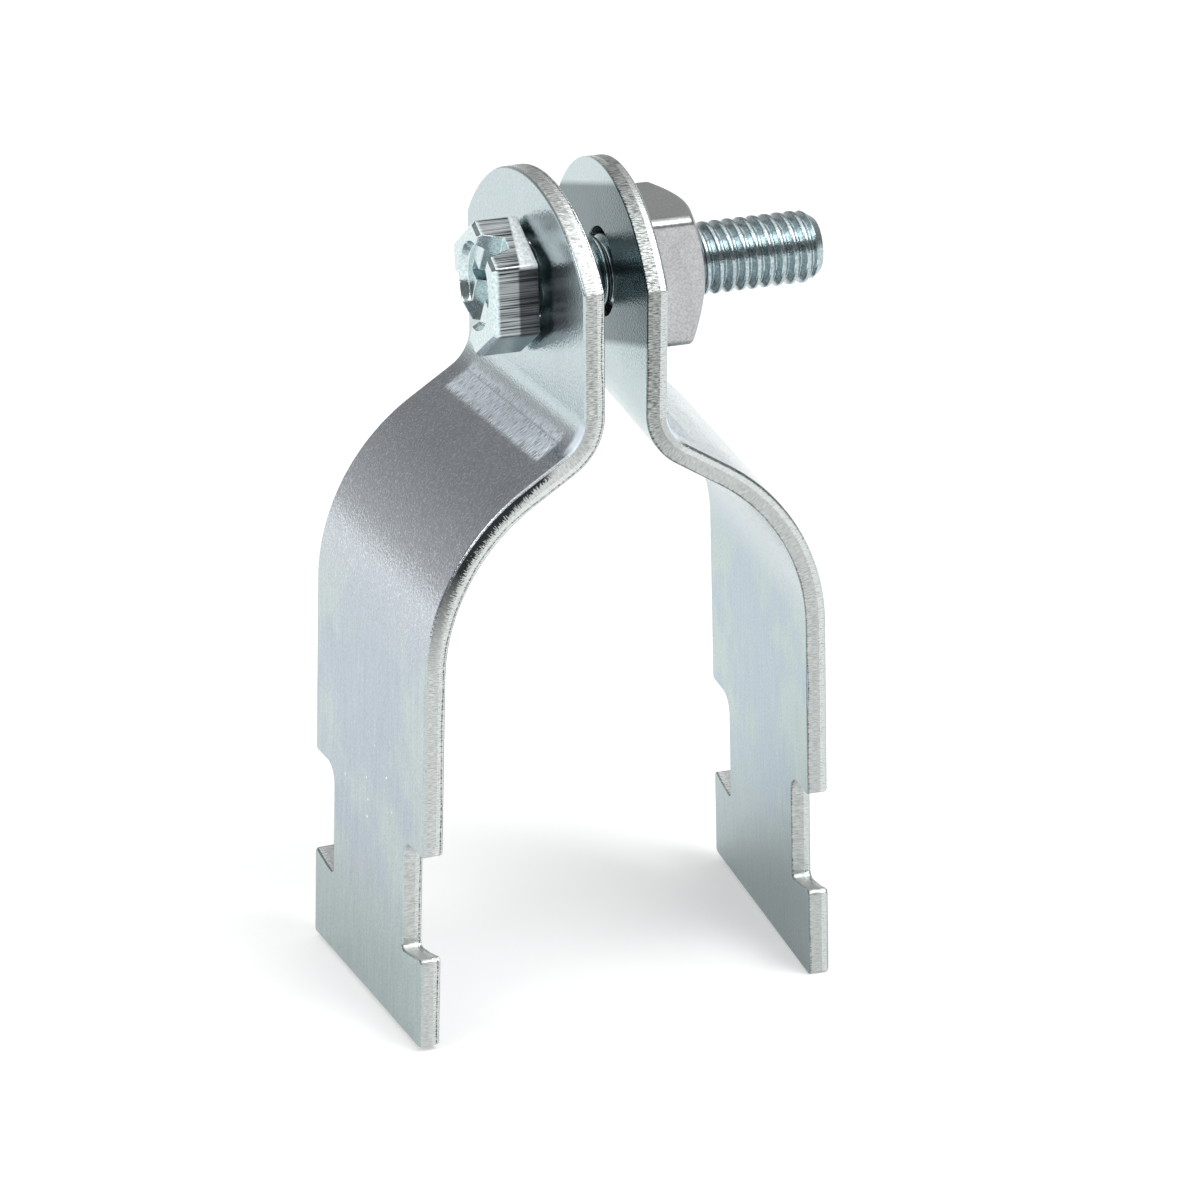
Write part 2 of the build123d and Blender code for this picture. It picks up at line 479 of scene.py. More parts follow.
    def shell(self) -> Shell:
        """The whole strap as one closed surface, turned and hung as it is at rest.

        Both rims, round the outline and the hole, are the edge's section carried round the loop.
        The two faces between them are filled with the same triangles.

        Returns:
            The surface, with its place on the strip and across its rim in two fields.
        """
        outline = self.blank_outline()
        normals = -outline_normals(outline)
        if signed_area(outline) > 0:
            normals = -normals
        around = np.linspace(0, 2 * math.pi, self.hole_points, endpoint=False)
        ring = np.stack([np.cos(around), np.sin(around)], axis=-1)
        hole = np.array([self.on_ear(self.screw_height), 0]) + ring * self.hole_radius
        inset, depth, angle = self.edge_profile()
        flats, depths, tilts, spreads, faces, borders = [], [], [], [], [], []
        first = 0
        for loop, out in ((outline, normals), (hole, -ring)):
            count = len(loop)
            for d, w, a in zip(inset, depth, angle):
                flats.append(loop - out * d)
                depths.append(np.full(count, w))
                tilts.append(np.full(count, a))
                spreads.append(out)
            quads = ring_faces(len(inset), count, first)
            if np.sum(outline_normals(loop) * out) < 0:
                quads = quads[:, ::-1]
            faces += quads.tolist()
            borders.append((first, loop - out * inset[0]))
            first += len(inset) * count
        interior, triangles = self.filled([loop for _, loop in borders])
        for level, lean, row in ((0.0, -90, 0), (self.thickness, 90, len(inset) - 1)):
            flats.append(interior)
            depths.append(np.full(len(interior), level))
            tilts.append(np.full(len(interior), math.radians(lean)))
            spreads.append(np.zeros((len(interior), 2)))
            number = [np.arange(len(loop)) + start + row * len(loop) for start, loop in borders]
            number = np.concatenate([*number, np.arange(len(interior)) + first])
            first += len(interior)
            filling = number[triangles]
            faces += (filling if row == 0 else filling[:, ::-1]).tolist()
        flat, deep = np.concatenate(flats), np.concatenate(depths)
        tilt, spread = np.concatenate(tilts), np.concatenate(spreads)
        place, out, along = self.bent(flat, deep)
        sideways = along * spread[:, :1] + np.array([0.0, 1.0, 0.0]) * spread[:, 1:]
        normal = sideways * np.cos(tilt)[:, None] + out * np.sin(tilt)[:, None]
        normal /= np.linalg.norm(normal, axis=1, keepdims=True)
        share = deep / self.thickness
        burnished_inside = (flat[:, 1] < 0) == (self.side is Side.LEFT)
        burnished = np.where(burnished_inside, 1 - share, share)
        fields = {
            "strip": np.stack([flat[:, 0], flat[:, 1], deep], axis=-1),
            "rim": np.stack([np.cos(tilt), burnished, share], axis=-1),
        }
        made = Shell(place, faces, normal, fields)
        if self.side is Side.LEFT:
            return made.moved(turn_z(self.toe))
        made = made.moved(np.diag([-1.0, 1.0, 1.0])).moved(turn_z(-self.toe))
        hang = turn_x(self.swing)
        pivot = np.array([0, 0, self.screw_height])
        return made.moved(hang, tuple(pivot - pivot @ hang))

    def filled(self, loops: list[np.ndarray]) -> tuple[np.ndarray, np.ndarray]:
        """Triangles that fill a face of the flat blank between its outline and its hole.

        Args:
            loops: The outline's points and the hole's, where the face meets their rims.

        Returns:
            The interior points, and triangles that number the loops' points first.
        """
        m = self.marks
        steps = (self.column_step, self.row_step, self.column_step, self.row_step, self.column_step)
        rows = [
            np.linspace(start, end, max(2, int((end - start) / step)), endpoint=False)
            for start, end, step in zip(m[:-1], m[1:], steps)
        ]
        half = self.width / 2
        columns = np.linspace(-half, half, int(self.width / self.column_step))
        grid = np.meshgrid(np.concatenate(rows), columns, indexing="ij")
        grid = np.stack(grid, axis=-1).reshape(-1, 2)
        border = np.concatenate(loops)
        keep = inside(grid, loops[0]) & ~inside(grid, loops[1])
        keep &= nearest(grid, border) > self.border_gap
        interior = grid[keep]
        points = np.concatenate([border, interior])
        segments = []
        for loop in loops:
            k = np.arange(len(loop))
            segments += (np.stack([k, (k + 1) % len(loop)], axis=-1) + len(segments)).tolist()
        spots = [Vector(p) for p in points.tolist()]
        found = delaunay_2d_cdt(spots, segments, [], 0, MERGE_WITHIN)
        if len(found[0]) != len(points):
            raise ValueError("the fill added or merged points")
        original = np.array([o[0] for o in found[3]])
        triangles = np.array([[original[i] for i in t] for t in found[2]])
        middle = points[triangles].mean(axis=1)
        triangles = triangles[inside(middle, loops[0]) & ~inside(middle, loops[1])]
        a, b, c = (points[triangles[:, i]] for i in range(3))
        area = (b - a)[:, 0] * (c - a)[:, 1] - (b - a)[:, 1] * (c - a)[:, 0]
        triangles[area > 0] = triangles[area > 0][:, ::-1]
        return interior, triangles


def signed_area(loop: np.ndarray) -> float:
    """The area of a closed outline, positive where it runs anticlockwise."""
    nxt = np.roll(loop, -1, axis=0)
    return float(np.sum(loop[:, 0] * nxt[:, 1] - nxt[:, 0] * loop[:, 1]) / 2)


def inside(points: np.ndarray, loop: np.ndarray) -> np.ndarray:
    """Whether each point is inside a closed outline: a ray from it crosses that oddly often.

    Args:
        points: One row of two coordinates for each point.
        loop: The outline's points in order.

    Returns:
        True or False for each point.
    """
    x, y = points[:, 0][:, None], points[:, 1][:, None]
    x1, y1 = loop[:, 0][None, :], loop[:, 1][None, :]
    x2, y2 = np.roll(loop[:, 0], -1)[None, :], np.roll(loop[:, 1], -1)[None, :]
    crosses = (y1 > y) != (y2 > y)
    with np.errstate(divide="ignore", invalid="ignore"):
        at = x1 + (y - y1) / (y2 - y1) * (x2 - x1)
    return (np.sum(crosses & (x < at), axis=1) % 2) == 1


def nearest(points: np.ndarray, others: np.ndarray) -> np.ndarray:
    """The distance from each point to the nearest of some others."""
    gaps = points[:, None, :] - others[None, :, :]
    return np.sqrt((gaps**2).sum(axis=-1).min(axis=1))


@dataclass
class SquareNut:
    """The square nut: a plain face against the ear, and a cone-chamfered face outwards."""

    flats: float = 14.1
    screw_height: float = 36.75
    corner_round: float = 1.0
    face_radius: float = 5.8
    chamfer_angle: float = 25.7
    bore_radius: float = 3.9
    mouth: float = 0.5
    edge: float = 0.28

    def shell(self) -> Shell:
        """The nut as a loop of rings: along its side, over its face, down its bore and back.

        Each ring has a reach from the axis for each angle, and a height above the plain face.

        Returns:
            The surface, without normals.
        """
        low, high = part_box("square_nut")
        start, thick = low.x / METRE, (high.x - low.x) / METRE
        half = self.flats / 2
        corners = [(half, half), (-half, half), (-half, -half), (half, -half)]
        outline = rounded_outline([(y, z, self.corner_round) for y, z in corners], 0.3)
        reach = np.linalg.norm(outline, axis=1)
        unit = outline / reach[:, None]
        slope = math.tan(math.radians(self.chamfer_angle))

        def top(radius: np.ndarray) -> np.ndarray:
            """The outer side's height at a radius: a flat face, then the chamfer's cone."""
            return thick - np.maximum(radius - self.face_radius, 0) * slope

        # Each edge is rounded by a few rings of about a quarter circle with the edge's radius
        e = self.edge
        full = np.zeros_like(reach)
        rows = [
            (reach - e, full),
            (reach - e * 0.293, full + e * 0.293),
            (reach, full + e),
            (reach, full + e * 1.4),
        ]
        rows += [(reach, e * 1.4 + (top(reach) - e * 2.8) * share) for share in (0.33, 0.67, 1.0)]
        rows += [(reach, top(reach) - e), (reach - e * 0.2, top(reach) - e * 0.35)]
        for inward, drop in ((0.55, 0.08), (1, 0)):
            rows.append((reach - e * inward, top(reach - e * inward) - e * drop))
        face = full + self.face_radius
        bore = full + self.bore_radius
        rows += [
            (face + 0.35, top(face + 0.35)),
            (face, full + thick - 0.04),
            (face - 0.35, full + thick),
            (bore + self.mouth + 0.15, full + thick),
            (bore + self.mouth, full + thick - 0.05),
            (bore, full + thick - self.mouth),
            (bore, full + self.mouth),
            (bore + self.mouth, full),
        ]
        grid = [
            np.stack([start + x, r * unit[:, 0], self.screw_height + r * unit[:, 1]], axis=-1)
            for r, x in rows
        ]
        return lathe_like(np.stack(grid), {}, through=True)


@dataclass
class HexScrew:
    """The screw: an indented hex head, slotted and cross recessed, on a fully threaded shank.

    Angles run round the shank's axis from +Y towards +Z, in degrees.
    """

    head_flats: float = 12.7
    head_height: float = 5.0
    head_turn: float = -3.35
    head_drop: float = 0.4
    screw_height: float = 36.75
    major_radius: float = 3.875
    pitch: float = 25.4 / 18
    crest_x: float = 20.525
    crest_angle: float = 66.7
    crest_flat: float = 0.12
    thread_depth: float = 0.68
    end_radius: float = 3.1
    end_chamfer: float = 1.3
    indent_radius: float = 4.7
    indent_depth: float = 0.9
    slot_floor: float = 1.7
    slot_mouth: float = 3.6
    slot_depth: float = 2.6
    slot_direction: float = 120.0
    cross_width: float = 1.5
    cross_reach: float = 3.1
    cross_depth: float = 2.9
    bevel: float = 0.4
    unfilled_from: float = -60.0
    unfilled_slope: float = 32.0
    corner_power: int = 80
    thread_around: int = 128
    thread_rings: int = 380
    head_around: int = 480

    def place(self, x: np.ndarray, radius: np.ndarray, angle: np.ndarray) -> np.ndarray:
        """Points round the screw's axis.

        Args:
            x: Distances along the screw.
            radius: Distances from its axis.
            angle: Angles from +Y towards +Z in radians.

        Returns:
            X, Y and Z in the last dimension, over what the three arrays share.
        """
        y = radius * np.cos(angle)
        z = self.screw_height + radius * np.sin(angle)
        return np.stack(np.broadcast_arrays(x, y, z), axis=-1)

    def thread(self) -> Shell:
        """The threaded shank.

        Its radius falls from the crest to the root as a smooth step of the distance along the axis
        from the nearest crest, and a crest moves one pitch along for each right-handed turn. The
        cone of the end's chamfer cuts it off.

        Returns:
            The surface, without normals.
        """
        low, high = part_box("hex_screw")
        begin, end = low.x / METRE + self.head_height, high.x / METRE
        angle = np.linspace(0, 2 * math.pi, self.thread_around, endpoint=False)[None, :]
        # The shank starts inside the head, and its thread grows to its full depth behind it
        x = np.linspace(begin - 0.5, end - 0.12, self.thread_rings)[:, None]
        turn = (x - self.crest_x) / self.pitch
        turn = turn - (angle - math.radians(self.crest_angle)) / (2 * math.pi)
        from_crest = np.abs(turn - np.round(turn)) * self.pitch
        grown = smooth_step(x, begin + 0.6, begin + 2.2)
        fall = smooth_step(from_crest, self.crest_flat, self.pitch / 2)
        radius = self.major_radius - self.thread_depth * grown * fall
        slope = (self.major_radius - self.end_radius) / self.end_chamfer
        radius = np.minimum(radius, self.end_radius + (end - x) * slope)
        rings = self.place(x, radius, angle)
        # The end's edge is rounded over about a tenth of a millimetre, and the rest is flat
        last = [
            self.place(np.array([[end - 0.035]]), radius[-1:] - 0.05, angle),
            self.place(np.array([[end]]), radius[-1:] - 0.16, angle),
            self.place(np.array([[end]]), radius[-1:] - 1.6, angle),
        ]
        return lathe_like(np.concatenate([rings, *last]), {})

    def rim(self, angle: np.ndarray) -> np.ndarray:
        """The head's reach from the shank's axis at each angle.

        Each side's reach is its distance from the axis over the cosine of the angle to it. A high
        power of their inverses, summed, picks the nearest side and rounds the corners a little.

        Args:
            angle: Angles from +Y towards +Z in radians, as one row.

        Returns:
            One row of reaches.
        """
        facing = np.radians(np.arange(0, 360, 60) + self.head_turn)[:, None]
        off_centre = self.head_flats / 2 - self.head_drop * np.sin(facing)
        share = np.maximum(np.cos(angle - facing), 0) / off_centre
        power = self.corner_power
        return ((share**power).sum(axis=0) ** (-1 / power))[None, :]

    def head(self) -> Shell:
        """The head: rings out over the recessed end face, down the hex sides and in below.

        Returns:
            The surface, without normals, with a field that is 1 on the hex sides.
        """
        low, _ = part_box("hex_screw")
        front = low.x / METRE
        angle = np.linspace(0, 2 * math.pi, self.head_around, endpoint=False)[None, :]
        rim = self.rim(angle)
        # Rings out from the middle, closer together where the bevel runs along the rim
        spread = np.concatenate([np.linspace(0.02, 0.9, 84), np.linspace(0.91, 1.0, 14)])[:, None]
        radius = rim * spread
        depth = self.recess(radius, angle, rim)
        face = self.place(front + depth, radius, angle)
        lip = depth[-1:]
        sides = np.linspace(0, 1, 14)[1:, None]
        side_x = front + lip + (self.head_height - lip - 0.1) * sides
        side = self.place(side_x, np.broadcast_to(rim, side_x.shape), angle)
        back = np.array([[front + self.head_height]])
        under = [self.place(back, rim - 0.12, angle), self.place(back, rim * 0.5, angle)]
        grid = np.concatenate([face, side, *under])
        flat = np.zeros(grid.shape)
        rows = len(face)
        flat[rows:rows + len(side), :, 0] = 1
        return lathe_like(grid, {"side": flat})

    def recess(self, radius: np.ndarray, angle: np.ndarray, rim: np.ndarray) -> np.ndarray:
        """How deep the end face lies below its highest plane.

        That is the deepest of the bevel along the rim, the unfilled corner, the round indent, the
        slot and the cross.

        Args:
            radius: Distances from the axis.
            angle: Angles from +Y towards +Z in radians.
            rim: The head's reach at each angle.

        Returns:
            Depths, in the shape of the radii.
        """
        depth = np.maximum(self.bevel - (1 - radius / rim) * self.head_flats / 2, 0)
        # The unfilled corner fades out over 1.5 degrees at both ends
        bearing = (np.degrees(angle) + 180) % 360 - 180
        missing = np.clip((bearing - self.unfilled_from) / 1.5, 0, 1)
        missing = missing * np.clip(-bearing / 1.5, 0, 1)
        slope = math.tan(math.radians(self.unfilled_slope))
        fall = np.maximum(radius - self.indent_radius, 0) * slope
        depth = np.maximum(depth, fall * missing)
        dish = np.clip((self.indent_radius - radius) / (self.indent_depth / 2), 0, 1)
        depth = np.maximum(depth, dish * self.indent_depth)
        heading = angle - math.radians(self.slot_direction)
        along, across = radius * np.cos(heading), radius * np.sin(heading)
        floor, mouth = self.slot_floor / 2, self.slot_mouth / 2
        slot = self.slot_depth * np.clip((mouth - np.abs(across)) / (mouth - floor), 0, 1)
        depth = np.maximum(depth, slot)
        # The cross's walls lean a little: over 0.15 mm at its sides and 0.3 mm at its ends
        for a, b in ((along, across), (across, along)):
            wing = self.cross_depth * np.clip((self.cross_width / 2 - np.abs(b)) / 0.15 + 0.5, 0, 1)
            wing = wing * np.clip((self.cross_reach - np.abs(a)) / 0.3, 0, 1)
            depth = np.maximum(depth, wing)
        return depth


@dataclass
class PhotoCamera:
    """The camera that took the photograph, from a fit to the object's own corners."""

    azimuth: float = -20.307
    elevation: float = 21.959
    roll: float = -0.274
    distance: float = 543.21
    aim: tuple[float, float, float] = (2.599, -0.928, 0.079)
    focal_pixels: float = 5080.2
    sensor: float = 36.0

    def make(self) -> bpy.types.Object:
        """Puts the camera behind its aim, upright, and then rolls it about its own axis.

        Returns:
            The camera's object, which is also the scene's camera.
        """
        a, e = math.radians(self.azimuth), math.radians(self.elevation)
        back = Vector((math.sin(a) * math.cos(e), -math.cos(a) * math.cos(e), math.sin(e)))
        data = bpy.data.cameras.new("photo_camera")
        data.sensor_width = self.sensor
        data.lens = self.focal_pixels * self.sensor / PHOTO_PIXELS
        data.clip_start, data.clip_end = 0.01, 20
        made = bpy.data.objects.new("photo_camera", data)
        bpy.context.scene.collection.objects.link(made)
        upright = (-back).to_track_quat("-Z", "Y").to_matrix()
        rolled = upright @ Matrix.Rotation(math.radians(self.roll), 3, "Z")
        made.matrix_world = rolled.to_4x4()
        made.location = (Vector(self.aim) + back * self.distance) * METRE
        bpy.context.scene.camera = made
        return made


class Nodes:
    """A node tree that is put together one node at a time.

    Inputs without a name of their own go by number. A Map Range takes a value (0) from one range
    (1, 2) to another (3, 4), 0 to 1 where it isn't given. A Mix takes a share (0) of two numbers
    (2, 3) or two colours (6, 7). A Multiply Add is 0 times 1, plus 2.
    """

    def __init__(self, tree: bpy.types.NodeTree) -> None:
        """Starts from an empty tree."""
        self.tree = tree
        tree.nodes.clear()

    def add(
        self, kind: str, links: dict | None = None, **settings: object
    ) -> bpy.types.NodeSocket | None:
        """Adds a node.

        Args:
            kind: The node's type without its "ShaderNode" start.
            links: For each input, by name or number, a value or the output that feeds it.
            settings: The node's own properties.

        Returns:
            The first output in use with these settings, if the node has one.
        """
        node = self.tree.nodes.new("ShaderNode" + kind)
        for key, value in settings.items():
            setattr(node, key, value)
        for key, value in (links or {}).items():
            if isinstance(value, bpy.types.NodeSocket):
                self.tree.links.new(value, node.inputs[key])
            else:
                node.inputs[key].default_value = value
        return next((output for output in node.outputs if output.enabled), None)


def new_finish(name: str) -> tuple[bpy.types.Material, Nodes]:
    """Starts a material.

    Args:
        name: The material's name.

    Returns:
        The material, and its empty node tree.
    """
    made = bpy.data.materials.new(name)
    made.use_nodes = True
    return made, Nodes(made.node_tree)


@dataclass(frozen=True)
class StripGround:
    """What every part of a strip's finish is worked out from, as outputs in one node tree.

    Attributes:
        n: The tree.
        at: The place on the strip in millimetres, moved by the finish's seed.
        along: The place along the strip in millimetres, from the foot's end.
        across: The place across the strip in millimetres, from its middle.
        depth: The place through the strip, from 0 on the inner face to 1 on the outer one.
        clouds: Noise some 8 mm wide.
        grain: Noise about a quarter of a millimetre wide.
        strokes: Noise a tenth of a millimetre wide and a millimetre long, along the strip.
        torn: Noise an eighth of a millimetre wide, drawn out through the strip's thickness.
    """

    n: Nodes
    at: bpy.types.NodeSocket
    along: bpy.types.NodeSocket
    across: bpy.types.NodeSocket
    depth: bpy.types.NodeSocket
    clouds: bpy.types.NodeSocket
    grain: bpy.types.NodeSocket
    strokes: bpy.types.NodeSocket
    torn: bpy.types.NodeSocket


@dataclass(frozen=True)
class ZincStrip:
    """Bright electroplated zinc on blanked and bent cold-rolled strip.

    The plating is a satin mirror with a cool cast: it shows the room in soft patches. Rolling
    leaves faint lines along the strip, the press rubs a light scuffed band across the outside of
    the ear's bend, and the sheared rim has a torn part with fine hatching and a smoother one.
    """

    name: str
    seed: float
    face: str = "#a4afb9"
    cloud: str = "#aebbbb"
    foot: str = "#9fadad"
    seat: str = "#b5bac0"
    ear: str = "#b4c1c4"
    # The scuffs' colour, which also paints the highlight on the bend's near corner
    scuff_and_highlight: str = "#e6f1fb"
    torn_dark: str = "#7c807e"
    torn_light: str = "#c9ccca"
    burnished: str = "#cfd3d1"
    # The colour of a dark crack line, and of the painted dark reflection band along the seat's near
    # rim
    crack_and_painted_reflection: str = "#2b2f30"
    # The colour of the painted shade on the ear's inner face between the ears
    painted_shade: str = "#42595e"
    roughness: float = 0.17
    # The scuffed band: from and to along the strip, the smooth line in it, its reach across (mm)
    band_from: float = 65.9
    band_to: float = 72.0
    band_line: float = 69.3
    band_half: float = 12.9
    # A dark crack line along the rim, at a share of the thickness from the inner face
    line_at: float = 0.14
    # How much of the near rim's outer half is painted dark along the seat, as a painted reflection
    painted_reflection_band: float = 0.0
    # How much painted shade darkens the foot's lower near corner
    foot_shade: float = 0.0
    # How much the leg's blisters show, and how strong the painted shade on the ear's inner face is
    blistered: float = 0.0
    painted_shade_patch: float = 0.0
    blister: str = "#f8fbfb"

    def make(self) -> bpy.types.Material:
        """Builds the material from the strip's own coordinates in millimetres.

        Returns:
            The material.
        """
        made, n = new_finish(self.name)
        strip = n.add("Attribute", attribute_name="strip").node.outputs["Vector"]
        at = n.add("VectorMath", {0: strip, 1: (self.seed, self.seed, 0)}, operation="ADD")
        along, across, _ = n.add("SeparateXYZ", {0: strip}).node.outputs
        rim = n.add("Attribute", attribute_name="rim").node.outputs["Vector"]
        edge, share, depth = n.add("SeparateXYZ", {0: rim}).node.outputs
        # Plating grows in clouds and in a fine grain
        clouds = n.add("TexNoise", {"Vector": at, "Scale": 0.13, "Detail": 3.0})
        grain = n.add("TexNoise", {"Vector": at, "Scale": 3.6, "Detail": 2.0})
        # The scuffs' strokes. The real ones are finer, too fine to show at this distance.
        strokes_at = n.add("VectorMath", {0: at, 1: (0.9, 8.5, 0.0)}, operation="MULTIPLY")
        strokes = n.add("TexNoise", {"Vector": strokes_at, "Scale": 1.0, "Detail": 3.0})
        # Torn metal's hatching. The real one is about half as coarse, too fine to show as well.
        torn_at = n.add("VectorMath", {0: at, 1: (8.0, 8.0, 1.6)}, operation="MULTIPLY")
        torn = n.add("TexNoise", {"Vector": torn_at, "Scale": 1.0, "Detail": 2.0})

        ground = StripGround(n, at, along, across, depth, clouds, grain, strokes, torn)
        # The scuffs, with the painted highlight on the bend's near corner
        band = self.scuffs_and_painted_highlight(ground)
        colour = self.plated(ground)
        colour = n.add("Mix", {0: band, 6: colour, 7: linear(self.scuff_and_highlight)}, data_type="RGBA")
        smooth = n.add("MapRange", {0: share, 1: 0.6, 2: 0.66})
        rim_colour = self.sheared(ground, smooth)
        on_rim = n.add("MapRange", {0: edge, 1: 0.8, 2: 0.97})
        colour = n.add("Mix", {0: on_rim, 6: colour, 7: rim_colour}, data_type="RGBA")

        # Roughness: satin faces, duller scuffs and torn rim
        low, high = self.roughness - 0.03, self.roughness + 0.05
        rough = n.add("MapRange", {0: clouds, 1: 0.3, 2: 0.7, 3: low, 4: high})
        rough = n.add("Mix", {0: band, 2: rough, 3: 0.5}, data_type="FLOAT")
        rim_rough = n.add("Mix", {0: smooth, 2: 0.4, 3: 0.26}, data_type="FLOAT")
        rough = n.add("Mix", {0: on_rim, 2: rough, 3: rim_rough}, data_type="FLOAT")
        # Relief: the grain's slopes sparkle where the room is dark, and the strokes and the torn
        # metal are deeper
        stroke_relief = n.add("Math", {0: strokes, 1: band}, operation="MULTIPLY")
        relief = n.add("Math", {0: stroke_relief, 1: 2.0, 2: grain}, operation="MULTIPLY_ADD")
        torn_relief = n.add("Math", {0: torn, 1: on_rim}, operation="MULTIPLY")
        relief = n.add("Math", {0: torn_relief, 1: 2.0, 2: relief}, operation="MULTIPLY_ADD")
        bump = n.add("Bump", {"Strength": 0.9, "Distance": 0.00004, "Height": relief})
        # The scuffed strokes and the painted highlight scatter light like powder
        metallic = n.add("MapRange", {0: band, 3: 1.0, 4: 0.2})
        shader = n.add(
            "BsdfPrincipled",
            {"Base Color": colour, "Metallic": metallic, "Roughness": rough, "Normal": bump},
        )
        n.add("OutputMaterial", {0: shader})
        return made

    def plated(self, ground: StripGround) -> bpy.types.NodeSocket:
        """The plated faces: bluer legs, cloudy patches, fine lines and pale blisters.

        Args:
            ground: Where the point is on the strip, and the base patterns.

        Returns:
            Their colour.
        """
        n, at, grain, clouds = ground.n, ground.at, ground.grain, ground.clouds
        along, across, depth = ground.along, ground.across, ground.depth
        aside = n.add("Math", {0: across}, operation="ABSOLUTE")
        aside = n.add("MapRange", {0: aside, 1: 5.0, 2: 16.0, 3: -0.06, 4: 0.1})
        clouded = n.add("Math", {0: clouds, 1: aside}, operation="ADD")
        clouded = n.add("MapRange", {0: clouded, 1: 0.43, 2: 0.59})
        colour = n.add(
            "Mix", {0: clouded, 6: linear(self.face), 7: linear(self.cloud)}, data_type="RGBA"
        )
        for tint, start, end in ((self.foot, 17, 7), (self.seat, 40, 50), (self.ear, 68, 74)):
            drift = n.add("MapRange", {0: along, 1: start, 2: end})
            colour = n.add("Mix", {0: drift, 6: colour, 7: linear(tint)}, data_type="RGBA")
        # Faint rolling lines, half a millimetre apart and a centimetre long
        drawn = n.add("VectorMath", {0: at, 1: (0.16, 2.0, 1.0)}, operation="MULTIPLY")
        lines = n.add("TexNoise", {"Vector": drawn, "Scale": 1.0, "Detail": 1.0})
        lined = n.add("MapRange", {0: along, 1: 36.0, 2: 46.0, 3: 0.5, 4: 0.12})
        lines = n.add("Math", {0: lines, 1: 0.5}, operation="SUBTRACT")
        both = n.add("Math", {0: lines, 1: lined, 2: grain}, operation="MULTIPLY_ADD")
        speck = n.add("MapRange", {0: both, 1: 0.26, 2: 0.74, 3: 0.86, 4: 1.1})
        # Bending the seat roughened the plating there: bright specks a sixth of a millimetre wide
        fine = n.add("TexNoise", {"Vector": at, "Scale": 5.5, "Detail": 1.0})
        fine = n.add("MapRange", {0: fine, 1: 0.55, 2: 0.7, 3: 0.0, 4: 0.5})
        on_seat = n.add("MapRange", {0: along, 1: 40.0, 2: 50.0})
        off_seat = n.add("MapRange", {0: along, 1: 74.0, 2: 70.0})
        fine = n.add("Math", {0: fine, 1: on_seat}, operation="MULTIPLY")
        fine = n.add("Math", {0: fine, 1: off_seat}, operation="MULTIPLY")
        speck = n.add("Math", {0: speck, 1: fine}, operation="ADD")
        # Painted shade: the foot's lower near corner is painted darker
        corner = n.add("Math", {0: across, 1: 0.6, 2: along}, operation="MULTIPLY_ADD")
        shade = n.add("MapRange", {0: corner, 1: -8.0, 2: 14.0, 3: 1 - self.foot_shade, 4: 1.0})
        speck = n.add("Math", {0: speck, 1: shade}, operation="MULTIPLY")
        colour = n.add("VectorMath", {0: colour, "Scale": speck}, operation="SCALE")
        # Painted shade: between the ears a slanting patch round the hole is painted dark
        shaded_patch = n.add("MapRange", {0: depth, 1: 0.3, 2: 0.2, 3: 0.0, 4: self.painted_shade_patch})
        slant = n.add("Math", {0: across, 1: 0.322, 2: along}, operation="MULTIPLY_ADD")
        low = n.add("MapRange", {0: slant, 1: 77.0, 2: 77.8})
        high = n.add("MapRange", {0: slant, 1: 95.2, 2: 94.5})
        for part in (low, high):
            shaded_patch = n.add("Math", {0: shaded_patch, 1: part}, operation="MULTIPLY")
        colour = n.add("Mix", {0: shaded_patch, 6: colour, 7: linear(self.painted_shade)}, data_type="RGBA")
        # Blisters in the plating: bright pits a quarter millimetre wide, in loose groups on the leg
        cells = n.add("TexVoronoi", {"Vector": at, "Scale": 0.9}, feature="F1").node.outputs
        pits = n.add("MapRange", {0: cells["Distance"], 1: 0.16, 2: 0.08})
        pick = n.add("SeparateXYZ", {0: cells["Color"]})
        chosen = n.add("MapRange", {0: pick, 1: 0.72, 2: 0.76})
        grouped = n.add("MapRange", {0: clouds, 1: 0.42, 2: 0.46, 3: 0.0, 4: self.blistered})
        above = n.add("MapRange", {0: along, 1: 14.0, 2: 16.0})
        below = n.add("MapRange", {0: along, 1: 34.0, 2: 28.0})
        inland = n.add("Math", {0: across}, operation="ABSOLUTE")
        inland = n.add("MapRange", {0: inland, 1: 8.0, 2: 6.5})
        for part in (chosen, grouped, above, below, inland):
            pits = n.add("Math", {0: pits, 1: part}, operation="MULTIPLY")
        return n.add("Mix", {0: pits, 6: colour, 7: linear(self.blister)}, data_type="RGBA")

